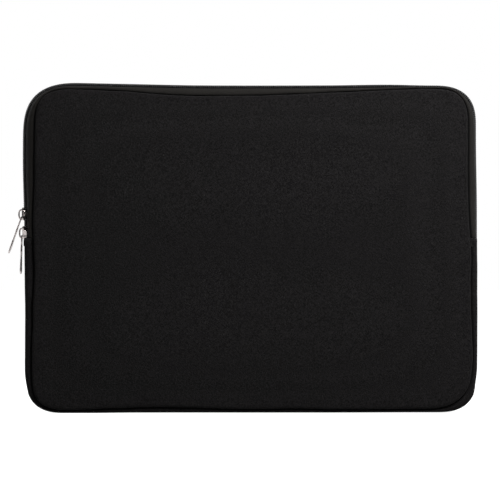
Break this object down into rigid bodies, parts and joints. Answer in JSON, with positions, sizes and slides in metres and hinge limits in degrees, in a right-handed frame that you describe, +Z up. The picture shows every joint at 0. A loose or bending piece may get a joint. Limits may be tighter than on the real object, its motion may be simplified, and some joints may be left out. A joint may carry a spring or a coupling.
{
  "type": "laptop sleeve",
  "caption": "Slim padded laptop sleeve with rounded corners; a coil zip with two sliders runs round the top, the front panel folds open and a gusset band closes the bottom.",
  "frame": {"origin": "middle of the flat bottom of the gusset, where the sleeve stands", "axes": "+X to the right seen from the front, the front panel faces -Y, +Z up towards the zip"},
  "size_m": [0.3631, 0.022, 0.255],
  "materials": {
    "cover_fabric": "matte knit",
    "foam": "closed-cell foam",
    "lining": "brushed pile",
    "binding": "woven tape",
    "zip_tape": "woven tape",
    "zip_coil": "satin nylon",
    "slider_metal": "bright plated die casting"
  },
  "bodies": {
    "sleeve": {"front_cover_lower": "cover_fabric", "front_foam_lower": "foam", "front_lining_lower": "lining", "front_seam_binding_lower": "binding", "rear_cover": "cover_fabric", "rear_foam": "foam", "rear_lining": "lining", "rear_seam_binding": "binding", "front_zip_tape_ends": "zip_tape", "front_zip_coil_ends": "zip_coil", "rear_zip_tape": "zip_tape", "rear_zip_coil": "zip_coil", "gusset_cover": "cover_fabric", "gusset_foam": "foam", "gusset_lining": "lining", "left_zip_end_tab": "binding", "right_zip_end_tab": "binding"},
    "mouth_flap": {"front_cover_flap": "cover_fabric", "front_foam_flap": "foam", "front_lining_flap": "lining", "front_seam_binding_flap": "binding", "front_zip_tape_flap": "zip_tape", "front_zip_coil_flap": "zip_coil"},
    "upper_slider": {"upper_slider_body": "slider_metal", "upper_slider_bridge": "slider_metal"},
    "upper_pull": {"upper_slider_pull": "slider_metal"},
    "lower_slider": {"lower_slider_body": "slider_metal", "lower_slider_bridge": "slider_metal"},
    "lower_pull": {"lower_slider_pull": "slider_metal"}
  },
  "joints": [
    {"name": "mouth_open", "type": "hinge", "parent": "sleeve", "child": "mouth_flap", "pos_m": [0, -0.011, 0.162], "axis": [1, 0, 0], "range_deg": [0, 90], "stiffness_Nm_per_rad": 0.04},
    {"name": "upper_slider_run", "type": "slide", "parent": "sleeve", "child": "upper_slider", "axis": [0, 0, -1], "range_m": [-0.06, 0]},
    {"name": "lower_slider_run", "type": "slide", "parent": "sleeve", "child": "lower_slider", "axis": [0, 0, -1], "range_m": [-0.0022, 0]},
    {"name": "upper_pull_swing", "type": "hinge", "parent": "upper_slider", "child": "upper_pull", "pos_m": [-0.17745, 0, 0.15205], "axis": [0, 1, 0], "range_deg": [0, 110]},
    {"name": "lower_pull_swing", "type": "hinge", "parent": "lower_slider", "child": "lower_pull", "pos_m": [-0.17745, 0, 0.13765], "axis": [0, 1, 0], "range_deg": [-2.5, 24]}
  ]
}
